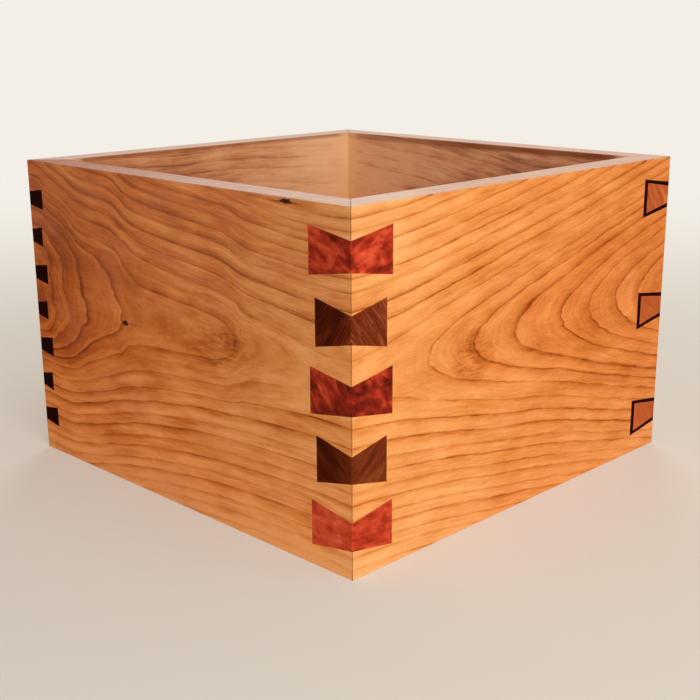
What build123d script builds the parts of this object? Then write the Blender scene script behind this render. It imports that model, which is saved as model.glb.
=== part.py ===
from build123d import *

import os
from math import sqrt

# An open square box of mitred boards, each corner locked by dovetail keys let in across the mitre.
# Lengths are in millimetres. The box stands on z = 0, centred on the z axis, its front towards -y.

# Case: four boards of one thickness, mitred where they meet
case_width = 152.4
case_depth = 152.4
case_height = 101.6
board_thickness = 10.0
arris_radius = 0.4  # sanded round along the upper and lower edges of the boards
corner_radius = 0.3  # sanded round along the upright corners

# Bottom: a loose panel, held in a groove run round the inside of the boards
panel_thickness = 5.0
panel_rise = 7.0  # from the boards' lower edges up to the panel's underside
groove_depth = 4.0
groove_headroom = 0.1  # left above the panel in its groove
panel_edge_gap = 0.5  # left between the panel's edge and the groove's end, for the panel to swell
panel_key_gap = 0.3  # left between a snipped corner of the panel and the deepest key

# Keys: the reach runs along each face from the corner, the tail is the height at the blind end,
# and the neck is the height at the corner itself
key_end_margin = 12.7  # from the boards' upper or lower edge to the middle of the nearest key

burl_reach = 15.6
burl_tail = 13.4
burl_neck = 8.2

walnut_reach = 13.4
walnut_tail = 13.4
walnut_neck = 7.6

long_dark_reach = 8.0
long_dark_tail = 6.8
long_dark_neck = 4.4

short_dark_reach = 6.4
short_dark_tail = 6.5
short_dark_neck = 4.2

# Two-part keys: a dark surround with a lighter core let into it, all round but at the corner
bordered_reach = 15.2
bordered_tail = 12.7
bordered_neck = 8.4
border_thickness = 1.35

key_sizes = {
    "burl": (burl_reach, burl_tail, burl_neck),
    "walnut": (walnut_reach, walnut_tail, walnut_neck),
    "long_dark": (long_dark_reach, long_dark_tail, long_dark_neck),
    "short_dark": (short_dark_reach, short_dark_tail, short_dark_neck),
    "bordered": (bordered_reach, bordered_tail, bordered_neck),
}

# Each corner's keys, from the top down, and the side of the box that it lies on along x and y
corner_keys = {
    "front_right": ["burl", "walnut", "burl", "walnut", "burl"],
    "front_left": ["long_dark", "short_dark"] * 3 + ["long_dark"],
    "back_right": ["bordered"] * 3,
    "back_left": ["burl", "walnut", "burl", "walnut", "burl"],
}
corner_sides = {
    "front_right": (1, -1),
    "front_left": (-1, -1),
    "back_right": (1, 1),
    "back_left": (-1, 1),
}

# Each board runs from one corner to the next, along the axis given
walls = {
    "front_wall": ("front_left", "front_right", Axis.X),
    "right_wall": ("front_right", "back_right", Axis.Y),
    "back_wall": ("back_right", "back_left", Axis.X),
    "left_wall": ("back_left", "front_left", Axis.Y),
}


def mitre_point(corner, inset):
    """Point in plan on a corner's mitre, the same inset from both of its faces."""
    side_x, side_y = corner_sides[corner]
    return (side_x * (case_width / 2 - inset), side_y * (case_depth / 2 - inset))


def key_places(corner):
    """Each key of a corner from the top down: its number, its kind and the height of its middle."""
    kinds = corner_keys[corner]
    pitch = (case_height - 2 * key_end_margin) / (len(kinds) - 1)
    top_middle = case_height - key_end_margin
    return [(place + 1, kind, top_middle - place * pitch) for place, kind in enumerate(kinds)]


def deepest_reach(corner):
    """Reach of the deepest key in a corner."""
    return max(key_sizes[kind][0] for kind in corner_keys[corner])


def dovetail(corner, middle, depth, tail, neck):
    """Upright dovetail on a corner's diagonal: the neck on the corner's edge, the tail inside."""
    side_x, side_y = corner_sides[corner]
    inwards = Vector(-side_x, -side_y, 0)
    edge_x, edge_y = mitre_point(corner, 0)
    diagonal = Plane(origin=(edge_x, edge_y, middle), x_dir=inwards, z_dir=inwards.cross(Vector(0, 0, 1)))
    with BuildSketch(diagonal) as outline:
        with BuildLine():
            Polyline((0, neck / 2), (depth, tail / 2), (depth, -tail / 2), (0, -neck / 2), close=True)
        make_face()
    return outline.sketch


def key_outline(corner, kind, middle):
    """Outline of a whole key, which is also the outline of the slot that it fills."""
    reach, tail, neck = key_sizes[kind]
    return dovetail(corner, middle, reach / sqrt(2), tail, neck)


def core_outline(corner, middle):
    """Outline of the core let into a two-part key, one border inside the key's own outline."""
    return dovetail(
        corner,
        middle,
        bordered_reach / sqrt(2) - border_thickness,
        bordered_tail - 2 * border_thickness,
        bordered_neck - 2 * border_thickness,
    )


def save(piece, name):
    """Labels a finished piece and writes it to its own file."""
    piece.part.label = name
    export_step(piece.part, f"parts/{name}.step")


os.makedirs("parts", exist_ok=True)

# The case's outside in plan, which every board and key is sanded flush with
with BuildSketch() as case_outline:
    RectangleRounded(case_width, case_depth, corner_radius)

# A slot's cutter and a key's stock run this far to each side of a corner's diagonal, past both faces
stock_half_length = max(deepest_reach(corner) for corner in corner_keys)

# The groove's outer limit in plan
groove_inset = board_thickness - groove_depth
with BuildSketch(Plane.XY.offset(panel_rise)) as groove_outline:
    Rectangle(case_width - 2 * groove_inset, case_depth - 2 * groove_inset)

# Boards: mitred at both ends, rounded along the long edges, grooved for the panel, slotted for the keys
for wall_name, (first_corner, last_corner, run) in walls.items():
    with BuildPart() as wall:
        with BuildSketch():
            with BuildLine():
                Polyline(
                    mitre_point(first_corner, 0),
                    mitre_point(last_corner, 0),
                    mitre_point(last_corner, board_thickness),
                    mitre_point(first_corner, board_thickness),
                    close=True,
                )
            make_face()
        extrude(amount=case_height)
        fillet(wall.edges().filter_by(run), radius=arris_radius)
        extrude(case_outline.sketch, amount=case_height, mode=Mode.INTERSECT)
        extrude(groove_outline.sketch, amount=panel_thickness + groove_headroom, mode=Mode.SUBTRACT)
        for corner in (first_corner, last_corner):
            for number, kind, middle in key_places(corner):
                slot = key_outline(corner, kind, middle)
                extrude(slot, amount=stock_half_length, both=True, mode=Mode.SUBTRACT)
    save(wall, wall_name)

# Bottom panel, each corner snipped off where that corner's deepest key would reach it
panel_inset = groove_inset + panel_edge_gap
with BuildPart() as bottom_panel:
    with BuildSketch(Plane.XY.offset(panel_rise)) as panel_outline:
        Rectangle(case_width - 2 * panel_inset, case_depth - 2 * panel_inset)
        for corner in corner_keys:
            snip = deepest_reach(corner) + sqrt(2) * panel_key_gap - 2 * panel_inset
            if snip > 0:
                panel_corner = mitre_point(corner, panel_inset)
                chamfer(panel_outline.vertices().sort_by_distance(panel_corner)[0], length=snip)
    extrude(amount=panel_thickness)
save(bottom_panel, "bottom_panel")

# Keys of one wood each, cut off flush with both faces of their corner
for corner in ("front_right", "front_left", "back_left"):
    for number, kind, middle in key_places(corner):
        with BuildPart() as key:
            extrude(key_outline(corner, kind, middle), amount=stock_half_length, both=True)
            extrude(case_outline.sketch, amount=case_height, mode=Mode.INTERSECT)
        save(key, f"{corner}_{kind}_key_{number}")

# Two-part keys: the surround fills the slot in the boards, and the core fills the surround
for number, kind, middle in key_places("back_right"):
    core = core_outline("back_right", middle)
    with BuildPart() as surround:
        extrude(key_outline("back_right", kind, middle), amount=stock_half_length, both=True)
        extrude(core, amount=stock_half_length, both=True, mode=Mode.SUBTRACT)
        extrude(case_outline.sketch, amount=case_height, mode=Mode.INTERSECT)
    save(surround, f"back_right_key_surround_{number}")
    with BuildPart() as key_core:
        extrude(core, amount=stock_half_length, both=True)
        extrude(case_outline.sketch, amount=case_height, mode=Mode.INTERSECT)
    save(key_core, f"back_right_key_core_{number}")
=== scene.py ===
import math
from types import SimpleNamespace

import bpy
from mathutils import Matrix, Vector


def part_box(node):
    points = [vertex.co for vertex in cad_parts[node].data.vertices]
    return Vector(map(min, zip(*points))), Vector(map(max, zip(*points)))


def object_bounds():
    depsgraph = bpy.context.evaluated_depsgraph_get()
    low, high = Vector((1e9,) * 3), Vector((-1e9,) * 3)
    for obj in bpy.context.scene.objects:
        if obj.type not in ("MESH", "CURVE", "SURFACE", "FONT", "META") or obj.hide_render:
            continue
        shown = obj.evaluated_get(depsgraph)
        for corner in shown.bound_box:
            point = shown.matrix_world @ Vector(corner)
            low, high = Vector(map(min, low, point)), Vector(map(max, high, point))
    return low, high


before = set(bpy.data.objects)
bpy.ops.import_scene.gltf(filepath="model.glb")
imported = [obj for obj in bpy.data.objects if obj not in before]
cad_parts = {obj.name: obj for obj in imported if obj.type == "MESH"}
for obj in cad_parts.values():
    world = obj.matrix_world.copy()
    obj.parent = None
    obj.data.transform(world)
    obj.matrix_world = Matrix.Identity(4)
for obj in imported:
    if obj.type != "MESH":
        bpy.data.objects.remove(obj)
case_low, case_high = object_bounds()

# Boards
# Four cherry boards, sawn one after another from a single flat-sawn plank, so that its figure runs on
# round the corners. They are mitred and glued, sanded flush, and oiled outside and along the rim.
MM = 0.001
SIDE = case_high.x - case_low.x
HALF_SIDE = SIDE / 2
RIM_HEIGHT = case_high.z
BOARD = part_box("front_wall")[1].y - case_low.y

# The plank is measured along from the front right corner, into its thickness, and up from its lower edge.
# The heart of the tree runs behind it, nearer at the far ends of the two front boards than at that corner,
# which closes the growth rings into tongues that point at the corner. Each list below gives places along
# the plank and a length there, both in millimetres.
PLANK_START = -3 * SIDE
PLANK_END = SIDE
HEART_DEPTHS = (
    (-457, 47), (-430, 45.4), (-408, 44.6), (-385, 42.4), (-360, 40.2), (-330, 38.8), (-305, 37),
    (-285, 35.8), (-262, 33.8), (-240, 31.4), (-222, 30.2), (-205, 29.2), (-188, 27.2), (-172, 25.2),
    (-152, 22), (-140, 25.6), (-132, 28), (-123, 31.2), (-116, 32.3), (-105, 33.6), (-98, 35),
    (-80, 35.6), (-65, 35.9), (-55, 36.2), (-49, 36.7), (-42, 38.2), (-30, 39), (-8, 40), (16, 39),
    (24, 38.2), (33, 36.9), (60, 33), (92, 28), (123, 21.8), (152, 16),
)
HEART_HEIGHTS = (
    (-457, 56), (-380, 57.5), (-300, 58), (-230, 55), (-152, 51), (-131, 53), (-101, 57), (-75, 58),
    (-45, 57.5), (0, 56.5), (60, 56.5), (92, 57), (152, 57),
)

# How far the rings above and below the heart are lifted, and the heart's depth as the lower rings show it
UPPER_LIFTS = (
    (-457, 12), (-380, 13.5), (-300, 15), (-200, 13), (-152, 12.5), (-140, 12), (-127, 10.5),
    (-115, 9.5), (-103, 8), (-92, 4), (-75, 1.5), (-42, 0), (0, 0), (152, 0),
)
LOWER_LIFTS = ((-457, 6), (-200, 9), (-152, 10), (-140, 7), (-130, 3), (-115, 0), (0, 0), (152, 0))
LOWER_DEPTHS = (
    (-457, 46), (-400, 43), (-330, 38.5), (-260, 33), (-200, 28), (-152, 23), (-120, 30), (-80, 36),
    (-40, 39), (0, 39.5), (33, 37), (60, 33), (92, 28), (123, 21.8), (152, 16),
)
LONGEST_IN_LISTS = 100 * MM

# The timber wavers in cells of these lengths by these reaches, from broad to fine
WAVERS = (
    ((60 * MM, 30 * MM, 24 * MM), (6 * MM, 0, 1.2 * MM)),
    ((10 * MM, 12 * MM, 3.5 * MM), (4.5 * MM, 0, 0.3 * MM)),
    ((1.5 * MM, 2 * MM, 0.8 * MM), (0, 0, 0.3 * MM)),
)
HEART_BLUNTNESS = 16.5 * MM
RING_SLOPE = 0.93
RING_WIDTH = 3.15 * MM
RING_START = 34.35 * MM
RINGS_COUNTED = 1517
SLOPE_STEP = 1.5 * MM
FLATTEST_SLOPE = 0.04
FAINTEST_RING = 0.35
LINE_REACH = 0.36 * MM
FRONT_LINE_REACH = 0.63 * MM
HEARTWARD_LINE_REACH = 0.16 * MM
SHADE_REACH = 0.34  # as a share of the ring

# Cell lengths of the grain, the marks and the darker band under the inner edge: along the plank, into it
# and up it
PATCH_CELLS = (18 * MM, 20 * MM, 6 * MM)
MOTTLE_CELLS = (20 * MM, 30 * MM, 9 * MM)
FIBRE_CELLS = (9 * MM, 0.6 * MM, 0.32 * MM)
PORE_CELLS = (2.4 * MM, 0.4 * MM, 0.17 * MM)
FLECK_CELLS = (1.3 * MM, 0.5 * MM, 0.3 * MM)
SPECKLE_CELLS = (5 * MM, 2 * MM, 1.1 * MM)
BLUSH_CELLS = (30 * MM, 30 * MM, 11 * MM)
RAGGED_CELLS = (0.7 * MM, 2 * MM, 0.25 * MM)
INNER_EDGE_BAND_CELLS = (60 * MM, 30 * MM, 30 * MM)

# Streaks and threads have their cells in rings outwards and in streak lengths along the plank
STREAK_LENGTH = 30 * MM
STREAK_CELLS = (0.62, 1.0, 1.0)
THREAD_CELLS = (0.11, 0.4, 1.0)

# Stretches along the plank that differ in tone, each from where it begins to where it is full
CORNER_BLEND = 15 * MM
HIDDEN_BOARDS = (-SIDE, -SIDE - 0.1 * MM)
FRONT_BOARD = (CORNER_BLEND, -CORNER_BLEND)
BACK_BOARD = (-2 * SIDE + CORNER_BLEND, -2 * SIDE - CORNER_BLEND)
FRONT_END = (-10 * MM, -150 * MM)
RIGHT_END = (40 * MM, 150 * MM)
BACK_END = (-320 * MM, -420 * MM)
DULL_FRONT_RIM = (0, -165 * MM)
DULL_RIGHT_RIM = (5 * MM, 60 * MM)

# The same by the distance from a corner of the box, along the boards to either side of it
ROUND_NEAR_CORNER = (90 * MM, 10 * MM)
AT_NEAR_CORNER = (38 * MM, 6 * MM)
AWAY_FROM_BACK_LEFT = (15 * MM, 90 * MM)

# The same up the plank
FOOT_TO_RIM = (0, 98 * MM)
LOWER_EDGE = (18 * MM, 0)
FRONT_TOP = (45 * MM, 98 * MM)
FRONT_UPPER = (40 * MM, 72 * MM)
FRONT_LOWER = (50 * MM, 0)
FRONT_FOOT = (16 * MM, 0)
FRONT_CROWN = (82 * MM, 98 * MM)
RIGHT_FOOT = (22 * MM, 0)
RIGHT_CROWN = (60 * MM, 92 * MM)
BACK_TOP = (76 * MM, RIM_HEIGHT)

# The same up from the heart, and outwards from it
ABOVE_HEART = (2 * MM, 20 * MM)
BELOW_HEART = (-2 * MM, -20 * MM)
WELL_BELOW_HEART = (-8 * MM, -26 * MM)
NEAR_HEART = (52 * MM, 26 * MM)
AT_HEART = (44 * MM, 32 * MM)

# The same for the bare wood inside, the rim's shine, the strips of painted light in the inner corners,
# the glue itself and the darker band under the inner edge, and how far that band wanders
RAW_SKIN = (BOARD - 0.5 * MM, BOARD - 0.1 * MM)
RIM_SKIN = (RIM_HEIGHT - 0.35 * MM, RIM_HEIGHT - 0.05 * MM)
PAINTED_LIGHT_REACH = (BOARD + 7 * MM, BOARD + 2.5 * MM)
GLUE_HALF_WIDTH = (0.3 * MM, 0.08 * MM)
INNER_EDGE_BAND = (RIM_HEIGHT - 1.9 * MM, RIM_HEIGHT - 0.6 * MM)
INNER_EDGE_BAND_WANDER = 1.8 * MM

CHERRY_TONES = (
    (0.0, (255, 180, 113)),
    (0.12, (249, 170, 101)),
    (0.42, (233, 144, 71)),
    (0.72, (202, 108, 39)),
    (1.0, (147, 64, 15)),
)
HEART_TONES = (
    (0.0, (255, 150, 68)),
    (0.12, (244, 136, 58)),
    (0.42, (213, 106, 39)),
    (0.72, (178, 76, 17)),
    (1.0, (125, 45, 5)),
)
PALE_TONES = (
    (0.0, (255, 202, 137)),
    (0.12, (252, 192, 126)),
    (0.42, (240, 168, 98)),
    (0.72, (212, 131, 64)),
    (1.0, (159, 87, 35)),
)
RAW_TONES = (
    (0.0, (254, 204, 156)),
    (0.25, (246, 190, 140)),
    (0.5, (228, 163, 115)),
    (0.75, (192, 125, 83)),
    (1.0, (136, 78, 46)),
)
BLUSH = (214, 126, 92)
RAW_PINK = (236, 184, 152)
# the darker band under the inner edge of the rim, and painted shade on the rim towards the front's far end
DARK_EDGE_AND_RIM_SHADE = (140, 74, 36)
# pale strips of painted light in the inner corners
PAINTED_LIGHT_STRIP = (250, 206, 150)
PITCH = (52, 15, 9)
GLUE_LINE = (104, 50, 22)

# Marks on the two front boards, each with its middle and its half lengths along and up
PIN_KNOT = (-100.2 * MM, 54.4 * MM)
PIN_KNOT_SIZE = (1.6 * MM, 0.85 * MM)
PITCH_FLECK = (-24.0 * MM, 100.6 * MM)
PITCH_FLECK_SIZE = (2.1 * MM, 0.65 * MM)
PITCH_TAIL = (-23.8 * MM, 100.35 * MM)
PITCH_TAIL_SIZE = (5.4 * MM, 0.25 * MM)
MARK_DEPTH = 1.5 * MM
LEFT_STAIN = (-56 * MM, 55 * MM)
LEFT_STAIN_SIZE = (20 * MM, 8 * MM)
RIGHT_STAIN = (50 * MM, 53 * MM)
RIGHT_STAIN_SIZE = (12 * MM, 9 * MM)
QUIET_PATCH = (112 * MM, 82 * MM)
QUIET_PATCH_SIZE = (55 * MM, 26 * MM)

GRAIN_BUMP = 0.25
GRAIN_DEPTH = 0.05 * MM
RIM_COAT_ROUGHNESS = 0.15
RIM_COAT_IOR = 1.6


def paint(red, green, blue):
    """A colour given on the 0 to 255 scale, as the linear colour that a shader takes."""
    shares = (red / 255, green / 255, blue / 255)
    linear = [share / 12.92 if share < 0.04045 else ((share + 0.055) / 1.055) ** 2.4 for share in shares]
    return (*linear, 1.0)


class Tone:
    """A number that a material works out at every point, so that sums on it are written as sums."""

    def __init__(self, tree, socket):
        self.tree = tree
        self.socket = socket

    def worked(self, operation, *terms):
        node = self.tree.nodes.new("ShaderNodeMath")
        node.operation = operation
        for place, term in enumerate((self, *terms)):
            if isinstance(term, Tone):
                self.tree.links.new(term.socket, node.inputs[place])
            else:
                node.inputs[place].default_value = term
        return Tone(self.tree, node.outputs[0])

    def __add__(self, term):
        return self.worked("ADD", term)

    def __sub__(self, term):
        return self.worked("SUBTRACT", term)

    def __mul__(self, term):
        return self.worked("MULTIPLY", term)

    def __truediv__(self, term):
        return self.worked("DIVIDE", term)

    def squared(self):
        return self.worked("MULTIPLY", self)

    def root(self):
        return self.worked("SQRT")

    def size(self):
        return self.worked("ABSOLUTE")

    def whole(self):
        return self.worked("FLOOR")

    def fraction(self):
        return self.worked("FRACT")

    def nearest(self):
        return self.worked("ROUND")

    def opposite(self):
        """0 where this is 1, and 1 where it is 0."""
        return self * -1.0 + 1.0

    def dying(self, length):
        """Falls from 1 at zero, by the same share over each length."""
        return (self * (-1 / length)).worked("EXPONENT")

    def fade(self, start, end):
        """Rises smoothly from 0 at start to 1 at end."""
        node = self.tree.nodes.new("ShaderNodeMapRange")
        node.interpolation_type = "SMOOTHSTEP"
        self.tree.links.new(self.socket, node.inputs["Value"])
        node.inputs["From Min"].default_value = start
        node.inputs["From Max"].default_value = end
        return Tone(self.tree, node.outputs["Result"])


def split(tree, vector):
    """The three tones of a vector socket."""
    node = tree.nodes.new("ShaderNodeSeparateXYZ")
    tree.links.new(vector, node.inputs[0])
    return [Tone(tree, socket) for socket in node.outputs]


def noise_in_cells(tree, vector, cells):
    """Noise node whose cells have these lengths along the vector's three axes."""
    stretch = tree.nodes.new("ShaderNodeVectorMath")
    stretch.operation = "DIVIDE"
    tree.links.new(vector, stretch.inputs[0])
    stretch.inputs[1].default_value = cells
    noise = tree.nodes.new("ShaderNodeTexNoise")
    tree.links.new(stretch.outputs[0], noise.inputs["Vector"])
    noise.inputs["Scale"].default_value = 1.0
    return noise


def drift(tree, vector, cells, reach):
    """The vector moved about by noise in these cells, up to half of this reach each way."""
    noise = noise_in_cells(tree, vector, cells)
    noise.inputs["Detail"].default_value = 1.0
    centred = tree.nodes.new("ShaderNodeVectorMath")
    centred.operation = "SUBTRACT"
    tree.links.new(noise.outputs["Color"], centred.inputs[0])
    centred.inputs[1].default_value = (0.5, 0.5, 0.5)
    moved = tree.nodes.new("ShaderNodeVectorMath")
    moved.operation = "MULTIPLY_ADD"
    tree.links.new(centred.outputs[0], moved.inputs[0])
    moved.inputs[1].default_value = reach
    tree.links.new(vector, moved.inputs[2])
    return moved.outputs[0]


def clouds(tree, vector, cells, detail=2.0, roughness=0.5, distortion=0.0):
    """Soft noise about one half, in cells of these lengths along the vector's three axes."""
    noise = noise_in_cells(tree, vector, cells)
    noise.inputs["Detail"].default_value = detail
    noise.inputs["Roughness"].default_value = roughness
    noise.inputs["Distortion"].default_value = distortion
    return Tone(tree, noise.outputs["Fac"])


def chance(tree, number):
    """A number from 0 to 1 drawn afresh for every whole number."""
    noise = tree.nodes.new("ShaderNodeTexWhiteNoise")
    noise.noise_dimensions = "1D"
    tree.links.new(number.socket, noise.inputs["W"])
    return Tone(tree, noise.outputs["Value"])


def shaded(tree, tone, stops):
    """Colour socket that runs through these colours as the tone goes from 0 to 1."""
    ramp = tree.nodes.new("ShaderNodeValToRGB")
    tree.links.new(tone.socket, ramp.inputs["Fac"])
    stop_list = ramp.color_ramp.elements
    while len(stop_list) < len(stops):
        stop_list.new(0.5)
    for element, (position, colour) in zip(stop_list, stops):
        element.position = position
        element.color = paint(*colour)
    return ramp.outputs["Color"]


def tint(tree, amount, start, end):
    """Colour socket that goes from start to end as the amount goes from 0 to 1."""
    mix = tree.nodes.new("ShaderNodeMix")
    mix.data_type = "RGBA"
    tree.links.new(amount.socket, mix.inputs[0])
    for socket, colour in ((mix.inputs[6], start), (mix.inputs[7], end)):
        if isinstance(colour, tuple):
            socket.default_value = paint(*colour)
        else:
            tree.links.new(colour, socket)
    return mix.outputs[2]


def plank_curve(tree, along, points):
    """A length that changes smoothly along the plank, through given points in millimetres."""
    node = tree.nodes.new("ShaderNodeFloatCurve")
    curve = node.mapping.curves[0]
    for place, length in points:
        share_along = (place * MM - PLANK_START) / (PLANK_END - PLANK_START)
        curve.points.new(share_along, length * MM / LONGEST_IN_LISTS)
    curve.points.remove(curve.points[0])
    curve.points.remove(curve.points[len(curve.points) - 1])
    node.mapping.update()
    tree.links.new(((along - PLANK_START) / (PLANK_END - PLANK_START)).socket, node.inputs["Value"])
    return Tone(tree, node.outputs[0]) * LONGEST_IN_LISTS


def oval_reach(along, up, middle, size):
    """Square of the distance from the middle of an oval on the plank, 1 at its edge."""
    return ((along - middle[0]) / size[0]).squared() + ((up - middle[1]) / size[1]).squared()


def oval(along, up, middle, size):
    """Rises smoothly to 1 at the middle of an oval on the plank."""
    return oval_reach(along, up, middle, size).fade(1.0, 0.2)


def spot(tree, vector, middle, size):
    """Rises to 1 inside a small ragged oval on the plank."""
    along, depth, up = split(tree, vector)
    ragged = (clouds(tree, vector, RAGGED_CELLS, detail=3.0) - 0.5) * 4
    reach = oval_reach(along, up, middle, size) + (depth / MARK_DEPTH).squared()
    return (reach + ragged).fade(1.6, 0.4)


def plank_zones(along, up):
    """Stretches of the plank as tones, each near 1 within and fading out at its ends."""
    hidden = along.fade(*HIDDEN_BOARDS)
    front = along.fade(*FRONT_BOARD) - hidden
    crown = up.fade(*RIGHT_CROWN) * front.opposite() + up.fade(*FRONT_CROWN) * front
    return SimpleNamespace(
        hidden=hidden,
        back=along.fade(*BACK_BOARD),
        front=front,
        front_end=along.fade(*FRONT_END) - hidden * 0.6,  # the hidden boards keep some of its tone
        front_top=up.fade(*FRONT_TOP) * front,
        front_upper=up.fade(*FRONT_UPPER) * front,
        front_lower=up.fade(*FRONT_LOWER) * front,
        front_foot=up.fade(*FRONT_FOOT) * front,
        right_foot=up.fade(*RIGHT_FOOT) * front.opposite(),
        corner_crown=crown * along.size().fade(*AT_NEAR_CORNER),
    )


def growth_rings(tree, place):
    """Rings counted outwards, the distance from the heart, and the gap between ring lines as they show."""
    wavering = place
    for cells, reach in WAVERS:
        wavering = drift(tree, wavering, cells, reach)
    along, depth, up = split(tree, wavering)

    # the rings are blunt where they turn over the heart
    above = up - plank_curve(tree, along, HEART_HEIGHTS)
    above = above - plank_curve(tree, along, UPPER_LIFTS) * above.fade(*ABOVE_HEART)
    above = above - plank_curve(tree, along, LOWER_LIFTS) * above.fade(*BELOW_HEART)
    over_heart = ((above * RING_SLOPE).squared() + HEART_BLUNTNESS ** 2).root() - HEART_BLUNTNESS
    heart_depth = plank_curve(tree, along, HEART_DEPTHS)
    lower_depth = plank_curve(tree, along, LOWER_DEPTHS)
    heart_depth = heart_depth + (lower_depth - heart_depth) * above.fade(*WELL_BELOW_HEART)
    radius = heart_depth - depth + over_heart

    # good years and poor years leave them uneven
    rings = (radius - RING_START) / RING_WIDTH + RINGS_COUNTED
    uneven = tree.nodes.new("ShaderNodeTexNoise")
    uneven.noise_dimensions = "1D"
    uneven.inputs["Scale"].default_value = 0.7
    tree.links.new(rings.socket, uneven.inputs["W"])
    rings = rings + (Tone(tree, uneven.outputs["Fac"]) - 0.5) * 0.5

    # the flatter a ring lies to the face, the further apart its lines show
    rise_along = plank_curve(tree, along + SLOPE_STEP, HEART_DEPTHS)
    rise_along = (rise_along - plank_curve(tree, along - SLOPE_STEP, HEART_DEPTHS)) / (2 * SLOPE_STEP)
    rise_up = above * RING_SLOPE ** 2 / (over_heart + HEART_BLUNTNESS)
    steepness = (rise_along.squared() + rise_up.squared()).root() + FLATTEST_SLOPE
    ring_gap = (steepness / RING_WIDTH).worked("POWER", -1.0)
    return rings, radius, ring_gap


def cherry_shares(along, up, radius, zone):
    """Redder, paler and darker places on the plank: partly the wood's own tone, partly painted light and
    shade.
    """
    redder = radius.fade(*NEAR_HEART) * 0.4 + along.fade(*RIGHT_END) * 0.1
    redder = redder + zone.front_end * 0.3 + zone.front_lower * 0.5 - zone.front_foot * 0.35
    # painted light: paler round the near corner, most at the right board's foot and at the top by that
    # corner, and a little at the front board's foot
    painted_light_by_corner = along.size().fade(*ROUND_NEAR_CORNER)
    paler = painted_light_by_corner * (zone.right_foot * 0.45 - zone.front_lower * 0.33 + 0.33)
    paler = paler + zone.front_upper * (zone.front_end * -0.2 + 0.36)
    paler = paler + zone.front_foot * 0.05 + zone.corner_crown * 0.35
    # painted shade and light: darker towards the rim and over the front's upper part, lighter at the lower
    # edge, on the front's lower part and foot, and at the top by the near corner; the front's darker band
    # round the heart is the wood's own
    darker = up.fade(*FOOT_TO_RIM) * 0.06 - up.fade(*LOWER_EDGE) * 0.05
    darker = darker + radius.fade(*AT_HEART) * zone.front * 0.18 + zone.front_top * 0.24
    darker = darker - zone.front_lower * 0.22 - zone.front_foot * 0.06 - zone.corner_crown * 0.12
    return SimpleNamespace(redder=redder, paler=paler, darker=darker)


def cherry_figure(tree, place, rings, ring_gap, redder, zone):
    """The ring lines and their shade, the streaks between them, and the fine grain."""
    along, depth, up = split(tree, place)
    outward = rings.fraction()
    boldness = chance(tree, rings.nearest()) * (1 - FAINTEST_RING) + FAINTEST_RING
    faintest_patch = zone.front * -0.2 + 0.3
    patchy = clouds(tree, place, PATCH_CELLS).fade(0.28, 0.62) * faintest_patch.opposite() + faintest_patch
    quiet = oval(along, up, QUIET_PATCH, QUIET_PATCH_SIZE)

    # a dark line closes each ring, as thin where the rings lie wide apart, sharper on the heart side, and
    # its shade dies away outwards
    reach = zone.front * (FRONT_LINE_REACH - LINE_REACH) + LINE_REACH
    line = (outward * ring_gap / reach).dying(1.0)
    line = line + (outward.opposite() * ring_gap).dying(HEARTWARD_LINE_REACH)
    line = line * boldness * patchy * (zone.front_end * -0.3 - zone.front * 0.14 - quiet * 0.5 + 1.0)
    shade = outward.dying(SHADE_REACH) * boldness * (redder * 0.8 + 0.4) * (zone.front_end * 0.4 + 1.0)

    # streaks and threads follow the rings, and the rest of the grain follows the plank
    ring_place = tree.nodes.new("ShaderNodeCombineXYZ")
    tree.links.new(rings.socket, ring_place.inputs["X"])
    tree.links.new((along / STREAK_LENGTH).socket, ring_place.inputs["Y"])
    ring_place = ring_place.outputs["Vector"]
    fibres = clouds(tree, place, FIBRE_CELLS, detail=3.0, roughness=0.6)
    pores = clouds(tree, place, PORE_CELLS, detail=1.0).fade(0.62, 0.76)
    flecks = clouds(tree, place, FLECK_CELLS, detail=1.0).fade(0.62, 0.78)
    grain = pores * 0.16 - flecks * 0.16 + (fibres - 0.5) * 0.45
    return SimpleNamespace(
        line=line,
        shade=shade,
        streaks=clouds(tree, ring_place, STREAK_CELLS, detail=5.0, roughness=0.65) - 0.5,
        threads=clouds(tree, ring_place, THREAD_CELLS, detail=2.0, roughness=0.6) - 0.5,
        mottle=clouds(tree, place, MOTTLE_CELLS, detail=3.0, roughness=0.6) - 0.5,
        fibres=fibres,
        pores=pores,
        grain=grain * (zone.front * -0.25 + 1.0),
    )


def oiled_colour(tree, place, figure, shares, zone):
    """Colour of the oiled faces, with a speckled stain on each front and a rosy blush in patches."""
    along, depth, up = split(tree, place)
    bands = figure.streaks * (zone.front * 0.18 + 0.82) + figure.mottle * 0.7
    bands = bands + figure.threads * (zone.front_end * -0.3 + 0.4)
    stain = oval(along, up, LEFT_STAIN, LEFT_STAIN_SIZE) + oval(along, up, RIGHT_STAIN, RIGHT_STAIN_SIZE)
    speckle = clouds(tree, place, SPECKLE_CELLS, detail=3.0, roughness=0.6) - 0.5
    tone = figure.line * (zone.front * -0.07 + 0.56) + figure.shade * 0.36
    tone = tone + bands * (zone.front * 0.15 + 1.0) + figure.grain
    tone = tone + shares.darker + stain * (speckle * 0.9 + 0.2) + 0.3
    colour = tint(tree, shares.redder, shaded(tree, tone, CHERRY_TONES), shaded(tree, tone, HEART_TONES))
    colour = tint(tree, shares.paler, colour, shaded(tree, tone, PALE_TONES))
    blush = clouds(tree, place, BLUSH_CELLS, detail=3.0).fade(0.45, 0.7)
    return tint(tree, blush * (zone.front * 0.1 + 0.08) + zone.front_top * 0.24, colour, BLUSH)


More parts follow.
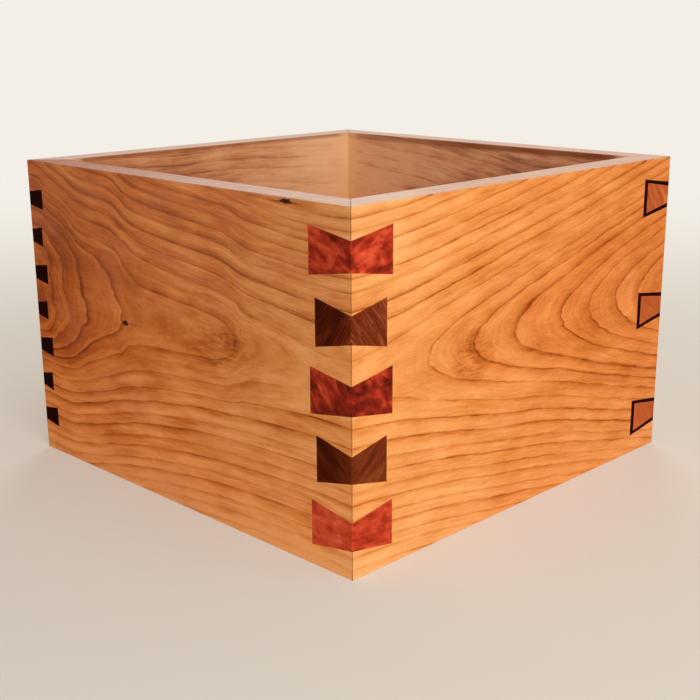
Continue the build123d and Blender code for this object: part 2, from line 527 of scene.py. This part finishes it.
def raw_colour(tree, place, figure, zone):
    """Colour of the inside, never oiled: palest by the back left corner in painted light, pinker on the
    back board.
    """
    along, depth, up = split(tree, place)
    tone = figure.line * 0.12 + figure.shade * 0.24 + figure.grain * 0.7
    tone = tone + figure.mottle * 0.7 + figure.streaks * 0.75 + figure.threads * 0.4
    # painted light and shade: the inside is palest by the back left corner and darker away from it
    from_back_left = (along + 2 * SIDE).size()
    painted_shade_off_corner = from_back_left.fade(*AWAY_FROM_BACK_LEFT) * (zone.hidden * 0.2 + zone.back * 0.03 + 0.35)
    tone = tone * (zone.back * 0.7 + 1.0) + painted_shade_off_corner + 0.04
    tone = tone + zone.back * (up.fade(*BACK_TOP) * 0.25 - 0.2)
    colour = tint(tree, zone.back * 0.2, shaded(tree, tone, RAW_TONES), RAW_PINK)

    # a darker band runs under the inner edge of the rim, wavering on the back board
    edge_band = up + clouds(tree, place, INNER_EDGE_BAND_CELLS) * zone.back * INNER_EDGE_BAND_WANDER
    edge_band = edge_band.fade(*INNER_EDGE_BAND) * (along.fade(*BACK_END) * 0.25 + 0.55)
    return tint(tree, edge_band, colour, DARK_EDGE_AND_RIM_SHADE)


def wood_group(name, polished=False):
    """Empty node group for a wood, with the socket that gives the place in it."""
    tree = bpy.data.node_groups.new(name, "ShaderNodeTree")
    tree.interface.new_socket("Place", in_out="INPUT", socket_type="NodeSocketVector")
    tree.interface.new_socket("Color", in_out="OUTPUT", socket_type="NodeSocketColor")
    tree.interface.new_socket("Roughness", in_out="OUTPUT", socket_type="NodeSocketFloat")
    tree.interface.new_socket("Relief", in_out="OUTPUT", socket_type="NodeSocketFloat")
    if polished:
        tree.interface.new_socket("Polish", in_out="OUTPUT", socket_type="NodeSocketFloat")
    return tree, tree.nodes.new("NodeGroupInput").outputs["Place"]


def hand_over(tree, colour, rough, relief, polish=None):
    """Joins what a wood's node group has worked out to its outputs."""
    output = tree.nodes.new("NodeGroupOutput")
    tree.links.new(colour, output.inputs["Color"])
    tree.links.new(rough.socket, output.inputs["Roughness"])
    tree.links.new(relief.socket, output.inputs["Relief"])
    if polish:
        tree.links.new(polish.socket, output.inputs["Polish"])


def cherry_plank():
    """Node group that gives the plank's colour, roughness, relief and polish at a place in it."""
    tree, place = wood_group("cherry_plank", polished=True)
    along, depth, up = split(tree, place)
    zone = plank_zones(along, up)
    rings, radius, ring_gap = growth_rings(tree, place)
    shares = cherry_shares(along, up, radius, zone)
    figure = cherry_figure(tree, place, rings, ring_gap, shares.redder, zone)
    inside = depth.fade(*RAW_SKIN)
    colour = oiled_colour(tree, place, figure, shares, zone)
    colour = tint(tree, inside, colour, raw_colour(tree, place, figure, zone))

    # each inner corner has a pale strip of painted light, and glue shows as a hairline at each mitre
    from_corner = (along - (along / SIDE).nearest() * SIDE).size()
    painted_corner_light = inside * from_corner.fade(*PAINTED_LIGHT_REACH)
    colour = tint(tree, painted_corner_light * 0.7, colour, PAINTED_LIGHT_STRIP)
    glue = (from_corner - depth).size().fade(*GLUE_HALF_WIDTH) * inside.opposite()

    # a pin knot, and a fleck of pitch under the rim
    colour = tint(tree, spot(tree, place, PIN_KNOT, PIN_KNOT_SIZE), colour, PITCH)
    colour = tint(tree, spot(tree, place, PITCH_TAIL, PITCH_TAIL_SIZE) * 0.7, colour, PITCH)
    colour = tint(tree, spot(tree, place, PITCH_FLECK, PITCH_FLECK_SIZE), colour, PITCH)
    colour = tint(tree, glue * 0.75, colour, GLUE_LINE)

    # the rim is rubbed to a shine, which is dullest at the front's far end, and painted shade darkens the
    # rim towards that end
    rim = up.fade(*RIM_SKIN)
    colour = tint(tree, rim * zone.front_end * 0.3, colour, DARK_EDGE_AND_RIM_SHADE)
    dull = zone.front * (along.fade(*DULL_FRONT_RIM) * 0.75 + 0.12) + zone.hidden * 0.3
    dull = dull + along.fade(*DULL_RIGHT_RIM) * 0.27
    polish = rim * dull.opposite() * (glue * -0.8 + 1.0)

    rough = figure.pores * 0.16 + (figure.fibres - 0.5) * 0.2 + inside * 0.12 + 0.42
    relief = figure.fibres * 0.5 - figure.pores - figure.line * 0.4
    hand_over(tree, colour, rough, relief, polish)
    return tree


def wood_material(name, group, shift, turn, gloss, mapping_type="POINT"):
    """Material that reads a wood's node group at the piece's own place in the timber."""
    material = bpy.data.materials.new(name)
    material.use_nodes = True
    tree = material.node_tree
    tree.nodes.clear()
    coordinates = tree.nodes.new("ShaderNodeTexCoord")
    mapping = tree.nodes.new("ShaderNodeMapping")
    mapping.vector_type = mapping_type
    mapping.inputs["Location"].default_value = shift
    mapping.inputs["Rotation"].default_value = turn
    wood = tree.nodes.new("ShaderNodeGroup")
    wood.node_tree = group
    bump = tree.nodes.new("ShaderNodeBump")
    bump.inputs["Strength"].default_value = GRAIN_BUMP
    bump.inputs["Distance"].default_value = GRAIN_DEPTH
    shader = tree.nodes.new("ShaderNodeBsdfPrincipled")
    shader.inputs["Specular IOR Level"].default_value = gloss
    output = tree.nodes.new("ShaderNodeOutputMaterial")
    tree.links.new(coordinates.outputs["Object"], mapping.inputs["Vector"])
    tree.links.new(mapping.outputs["Vector"], wood.inputs["Place"])
    tree.links.new(wood.outputs["Color"], shader.inputs["Base Color"])
    tree.links.new(wood.outputs["Roughness"], shader.inputs["Roughness"])
    tree.links.new(wood.outputs["Relief"], bump.inputs["Height"])
    if "Polish" in wood.outputs:
        tree.links.new(wood.outputs["Polish"], shader.inputs["Coat Weight"])
        shader.inputs["Coat Roughness"].default_value = RIM_COAT_ROUGHNESS
        shader.inputs["Coat IOR"].default_value = RIM_COAT_IOR
    tree.links.new(bump.outputs["Normal"], shader.inputs["Normal"])
    tree.links.new(shader.outputs["BSDF"], output.inputs["Surface"])
    return material


def dress(node, material):
    """Gives a CAD node its finish."""
    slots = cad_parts[node].data.materials
    slots.clear()
    slots.append(material)


plank = cherry_plank()
PLANK_ORDER = ("back_wall", "left_wall", "front_wall", "right_wall")
for order, wall in enumerate(PLANK_ORDER, start=-2):
    quarter_turns = (0, 0, -order * math.pi / 2)
    start = ((2 * order - 1) * HALF_SIDE, HALF_SIDE, 0)
    dress(wall, wood_material(f"cherry_{wall}", plank, start, quarter_turns, gloss=0.03))

# Bottom panel
# Thin cherry-faced plywood, loose in a groove round the inside of the boards. Its face veneer is sliced
# from a plain part of the tree, so it shows long, almost straight grain from side to side.
VENEER_LINE_GAP = 5.5 * MM
VENEER_LINE_REACH = 0.1  # as a share of the gap
VENEER_WAVERS = (
    ((90 * MM, 30 * MM, 20 * MM), (0, 14 * MM, 0)),
    ((16 * MM, 8 * MM, 8 * MM), (0, 1.6 * MM, 0)),
)
VENEER_STREAK_CELLS = (60 * MM, 2.5 * MM, 20 * MM)
VENEER_FIBRE_CELLS = (9 * MM, 0.32 * MM, 2 * MM)


def cherry_veneer():
    """Node group for the panel's faces, with the grain along the first axis."""
    tree, place = wood_group("cherry_veneer")
    wavering = place
    for cells, reach in VENEER_WAVERS:
        wavering = drift(tree, wavering, cells, reach)
    across = split(tree, wavering)[1]
    rings = across / VENEER_LINE_GAP
    boldness = chance(tree, rings.whole()) * 0.8 + 0.2
    line = rings.fraction().dying(VENEER_LINE_REACH) * boldness
    streaks = clouds(tree, wavering, VENEER_STREAK_CELLS, detail=4.0, roughness=0.65)
    fibres = clouds(tree, place, VENEER_FIBRE_CELLS, detail=3.0, roughness=0.6)
    tone = line * 0.42 + (streaks - 0.5) * 0.75 + (fibres - 0.5) * 0.5 + 0.34
    hand_over(tree, shaded(tree, tone, RAW_TONES), fibres * 0.2 + 0.45, fibres - line * 0.5)
    return tree


dress("bottom_panel", wood_material("cherry_panel", cherry_veneer(), (0, 0, 0), (0, 0, 0), gloss=0.05))

# Burl keys
# Dovetail keys of red burl, glued into slots across the two corners that alternate burl and walnut.
# The grain is knotted in every direction, in reds from near black to orange, and takes a soft polish.
BURL_TONES = (
    (0.2, (82, 14, 6)),
    (0.38, (148, 40, 20)),
    (0.5, (196, 64, 36)),
    (0.62, (222, 90, 56)),
    (0.8, (248, 140, 100)),
)
SWIRL_CELLS = (9 * MM, 6 * MM, 4.5 * MM)
WISP_CELLS = (5 * MM, 4 * MM, 1.6 * MM)
BURL_THREAD_CELLS = (1.8 * MM, 1.8 * MM, 0.5 * MM)
RIGHT_HALF = (-1 * MM, 1 * MM)

# Each billet's key number, ripeness, strength of figure, lift of its right half, and slant in degrees
BILLETS = (
    (1, 0.08, 0.7, 0.05, (30, 10, 0)),
    (3, 0.11, 0.75, -0.02, (10, 40, 0)),
    (5, -0.07, 0.5, -0.09, (5, 10, 0)),
)

# The side of the box that a corner lies on along x and y, and the way that it faces in degrees
CORNERS = {"front_right": (1, -1, 45), "back_left": (-1, 1, 225), "back_right": (1, 1, 135)}
ALTERNATING_CORNERS = ("front_right", "back_left")


def red_burl(name, ripeness, figure, lift, slant):
    """Node group for a billet of burl: darker as it is riper, right half lifted, figure slanting."""
    tree, place = wood_group(name)
    right_half = split(tree, place)[0].fade(*RIGHT_HALF)
    slanting = tree.nodes.new("ShaderNodeMapping")
    slanting.vector_type = "TEXTURE"
    slanting.inputs["Rotation"].default_value = [math.radians(angle) for angle in slant]
    tree.links.new(place, slanting.inputs["Vector"])
    place = slanting.outputs["Vector"]
    swirls = clouds(tree, place, SWIRL_CELLS, distortion=0.8)
    wisps = clouds(tree, place, WISP_CELLS, distortion=0.5)
    threads = clouds(tree, place, BURL_THREAD_CELLS, distortion=0.6)
    tone = (swirls - 0.5) * 0.95 + (wisps - 0.5) * 0.55 + (threads - 0.5) * 0.1
    tone = tone * figure + right_half * lift + (0.5 - ripeness)
    hand_over(tree, shaded(tree, tone, BURL_TONES), threads * 0.2 + 0.3, swirls + threads * 0.5)
    return tree


def key_finish(name, wood, corner, lean, gloss):
    """Material for a key: its wood is centred on its corner, faces out, and leans by so many degrees."""
    side_x, side_y, facing = CORNERS[corner]
    middle = (side_x * HALF_SIDE, side_y * HALF_SIDE, 0)
    turn = (math.radians(lean), 0, math.radians(facing))
    return wood_material(name, wood, middle, turn, gloss, mapping_type="TEXTURE")


for number, ripeness, figure, lift, slant in BILLETS:
    billet = red_burl(f"red_burl_{number}", ripeness, figure, lift, slant)
    for corner in ALTERNATING_CORNERS:
        key = f"{corner}_burl_key_{number}"
        dress(key, key_finish(f"red_{key}", billet, corner, lean=0, gloss=0.04))

# Walnut keys
# Shorter dovetail keys of dark walnut between the burl ones. Their straight grain was set slanting, so
# fine streaks run up towards the corner on one key and away from it on the next.
WALNUT_TONES = (
    (0.1, (42, 9, 2)),
    (0.4, (79, 25, 6)),
    (0.65, (121, 50, 23)),
    (0.95, (172, 94, 56)),
)
WALNUT_BAND_CELLS = (9 * MM, 24 * MM, 3 * MM)
WALNUT_STREAK_CELLS = (4 * MM, 14 * MM, 0.5 * MM)
WALNUT_PORE_CELLS = (0.5 * MM, 3.5 * MM, 0.2 * MM)
PAINTED_SHEEN_SIDE = (-8 * MM, 4 * MM)

# Each key's number, the lean of its grain in degrees, and how streaky it is
WALNUT_CUTS = ((2, -60, 0.9), (4, 48, 0.4))


def walnut(name, streakiness):
    """Node group for the walnut, with its streaks along the second axis and stacked along the third."""
    tree, place = wood_group(name)
    side = split(tree, place)[0]
    bands = clouds(tree, place, WALNUT_BAND_CELLS)
    streaks = clouds(tree, place, WALNUT_STREAK_CELLS, detail=3.0, roughness=0.65)
    pores = clouds(tree, place, WALNUT_PORE_CELLS, detail=1.0).fade(0.6, 0.74)
    tone = (bands - 0.5) * 0.7 + (streaks - 0.5) * streakiness - pores * 0.15
    # painted sheen: the walnut is paler on one side of its corner
    tone = tone + side.fade(*PAINTED_SHEEN_SIDE) * 0.29 + 0.35
    hand_over(tree, shaded(tree, tone, WALNUT_TONES), pores * 0.2 + 0.36, streaks - pores)
    return tree


for number, lean, streakiness in WALNUT_CUTS:
    walnut_wood = walnut(f"walnut_{number}", streakiness)
    for corner in ALTERNATING_CORNERS:
        key = f"{corner}_walnut_key_{number}"
        dress(key, key_finish(f"dark_{key}", walnut_wood, corner, lean, gloss=0.008))

# Dark keys and surrounds
# Near-black hardwood: the small keys at the front left corner, and the surrounds of the two-part keys at
# the back right corner. The grain is so dense that it shows only as faint brown threads.
DARK_TONES = ((0.3, (26, 3, 3)), (0.6, (36, 6, 4)), (0.85, (64, 20, 12)))
DARK_THREAD_CELLS = (6 * MM, 0.6 * MM, 0.4 * MM)
ACROSS_CORNER = (0, 0, math.radians(-45))


def dark_hardwood():
    """Node group for the near-black wood, with its threads along the first axis."""
    tree, place = wood_group("dark_hardwood")
    threads = clouds(tree, place, DARK_THREAD_CELLS, detail=3.0, roughness=0.65)
    hand_over(tree, shaded(tree, threads, DARK_TONES), threads * 0.2 + 0.3, threads)
    return tree


dark_finish = wood_material(
    "dark_keys", dark_hardwood(), (0, 0, 0), ACROSS_CORNER, gloss=0.004, mapping_type="TEXTURE"
)
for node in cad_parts:
    if "_dark_key_" in node or "_surround_" in node:
        dress(node, dark_finish)

# Cores of the two-part keys
# Reddish hardwood dovetails let into the dark surrounds, their grain slanting across the corner.
# Dark brown stripes cross the top one, and the lower two are plainer.
CORE_TONES = (
    (0.15, (116, 40, 14)),
    (0.4, (180, 82, 36)),
    (0.6, (202, 100, 48)),
    (0.9, (222, 128, 68)),
)
CORE_STRIPE_CELLS = (10 * MM, 20 * MM, 2.2 * MM)
CORE_FIBRE_CELLS = (3 * MM, 8 * MM, 0.35 * MM)

# Each core's number, the lean of its grain in degrees, and how striped it is
CORE_CUTS = ((1, 60, 1.2), (2, 40, 0.6), (3, 70, 0.5))


def red_hardwood(name, contrast):
    """Node group for the cores' wood, with its stripes stacked along the third axis."""
    tree, place = wood_group(name)
    stripes = clouds(tree, place, CORE_STRIPE_CELLS)
    fibres = clouds(tree, place, CORE_FIBRE_CELLS, detail=3.0, roughness=0.6)
    tone = (stripes - 0.5) * contrast + (fibres - 0.5) * 0.4 + 0.52
    hand_over(tree, shaded(tree, tone, CORE_TONES), fibres * 0.2 + 0.32, fibres)
    return tree


for number, lean, contrast in CORE_CUTS:
    core_wood = red_hardwood(f"red_hardwood_{number}", contrast)
    core_finish = key_finish(f"red_core_{number}", core_wood, "back_right", lean, gloss=0.03)
    dress(f"back_right_key_core_{number}", core_finish)

# Floor
# A plain pale sheet under the box, wide enough to run past the view on every side. Far from the box it
# is as pale as the sky, so that no edge shows between the two.
FLOOR_REACH = 6.0
FLOOR_PALE = (237, 226, 209)
FLOOR_CLOUD = (232, 219, 201)
FLOOR_CELLS = (0.4, 0.4, 0.4)
SKY_CREAM = (255, 250, 241)
SKY_SEEN = 0.9
GLOW_REACH = (0.08, 0.7)
GLOW_BY_BOX = 0.28


def seen_directly(tree):
    """1 for what the camera sees, also in a gloss or a glass, and 0 for light that falls on things."""
    ray = tree.nodes.new("ShaderNodeLightPath")
    seen = Tone(tree, ray.outputs["Is Camera Ray"])
    for kind in ("Is Glossy Ray", "Is Transmission Ray"):
        seen = seen.worked("MAXIMUM", Tone(tree, ray.outputs[kind]))
    return seen


floor_mesh = bpy.data.meshes.new("floor")
floor_corners = [(x * FLOOR_REACH, y * FLOOR_REACH, 0) for x, y in ((-1, -1), (1, -1), (1, 1), (-1, 1))]
floor_mesh.from_pydata(floor_corners, [], [(0, 1, 2, 3)])
floor = bpy.data.objects.new("floor", floor_mesh)
bpy.context.scene.collection.objects.link(floor)
floor_paper = bpy.data.materials.new("floor_paper")
floor_paper.use_nodes = True
paper_tree = floor_paper.node_tree
paper = paper_tree.nodes["Principled BSDF"]
paper.inputs["Roughness"].default_value = 0.8
paper.inputs["Specular IOR Level"].default_value = 0.1
paper_place = paper_tree.nodes.new("ShaderNodeTexCoord").outputs["Object"]
paper_clouds = clouds(paper_tree, paper_place, FLOOR_CELLS)
paper_tree.links.new(tint(paper_tree, paper_clouds, FLOOR_PALE, FLOOR_CLOUD), paper.inputs["Base Color"])
floor_x, floor_y, floor_z = split(paper_tree, paper_place)
from_box = (floor_x.squared() + floor_y.squared()).root()
far_off = from_box.fade(*GLOW_REACH) * (1 - GLOW_BY_BOX) + GLOW_BY_BOX
glow = paper_tree.nodes.new("ShaderNodeEmission")
glow.inputs["Color"].default_value = paint(*SKY_CREAM)
glow.inputs["Strength"].default_value = SKY_SEEN
paper_mix = paper_tree.nodes.new("ShaderNodeMixShader")
paper_tree.links.new((far_off * seen_directly(paper_tree)).socket, paper_mix.inputs["Fac"])
paper_tree.links.new(paper.outputs["BSDF"], paper_mix.inputs[1])
paper_tree.links.new(glow.outputs["Emission"], paper_mix.inputs[2])
paper_tree.links.new(paper_mix.outputs["Shader"], paper_tree.nodes["Material Output"].inputs["Surface"])
floor_mesh.materials.append(floor_paper)

# Light
# A broad soft lamp low on the right, close enough to fade along the boards, another behind the box, weak
# ones low in front and overhead, and an even cream sky.
LAMP_WIDTH = 0.45
NEAR_CORNER = (HALF_SIDE, -HALF_SIDE, RIM_HEIGHT / 2)
FAR_CORNER = (-HALF_SIDE, HALF_SIDE, RIM_HEIGHT / 2)
FRONT_BOARD_FOOT = (-HALF_SIDE / 2, -HALF_SIDE, 0)
RIM_MIDDLE = (0, 0, RIM_HEIGHT)
SKY_LIGHT = 0.24

# Each lamp's name, its place, what it faces, and its watts
LAMPS = (
    ("right_lamp", (0.63, -0.32, 0.25), NEAR_CORNER, 3.35),
    ("front_lamp", (-0.3, -0.75, 0.14), FRONT_BOARD_FOOT, 0.3),
    ("back_lamp", (-0.6, 0.7, 0.42), FAR_CORNER, 4.0),
    ("top_lamp", (0.3, 0, 0.75), RIM_MIDDLE, 1.0),
)


def soft_lamp(name, place, aim, watts):
    """Square soft lamp that faces a point, and leaves no glare on a polished edge."""
    lamp = bpy.data.lights.new(name, "AREA")
    lamp.size = LAMP_WIDTH
    lamp.energy = watts
    holder = bpy.data.objects.new(name, lamp)
    holder.location = place
    holder.rotation_euler = (Vector(aim) - Vector(place)).to_track_quat("-Z", "Y").to_euler()
    holder.visible_glossy = False
    bpy.context.scene.collection.objects.link(holder)


for name, place, aim, watts in LAMPS:
    soft_lamp(name, place, aim, watts)

sky = bpy.data.worlds.new("sky")
sky.use_nodes = True
sky_tree = sky.node_tree
background = sky_tree.nodes["Background"]
background.inputs["Color"].default_value = paint(*SKY_CREAM)
sky_strength = seen_directly(sky_tree) * (SKY_SEEN - SKY_LIGHT) + SKY_LIGHT
sky_tree.links.new(sky_strength.socket, background.inputs["Strength"])
bpy.context.scene.world = sky
bpy.context.scene.view_settings.view_transform = "Standard"

# Camera
# It stands off the front right corner, a little above the rim, where the photograph was taken from.
# The figures are those that put the box's corners on the photograph's 700 by 700 frame.
CAMERA_PLACE = Vector((282.05 * MM, -283.83 * MM, 146.23 * MM))
CAMERA_AZIMUTH = math.radians(44.82)
CAMERA_DROP = math.radians(15.55)
CAMERA_ROLL = math.radians(-0.29)
LENS = 61.09
SENSOR = 36.0
camera = bpy.data.cameras.new("camera")
camera.lens = LENS
camera.sensor_width = SENSOR
camera.dof.use_dof = False
camera_stand = bpy.data.objects.new("camera", camera)
upright = Matrix.Rotation(CAMERA_AZIMUTH, 4, "Z") @ Matrix.Rotation(math.pi / 2 - CAMERA_DROP, 4, "X")
rolled = upright @ Matrix.Rotation(CAMERA_ROLL, 4, "Z")
camera_stand.matrix_world = Matrix.Translation(CAMERA_PLACE) @ rolled
bpy.context.scene.collection.objects.link(camera_stand)
bpy.context.scene.camera = camera_stand
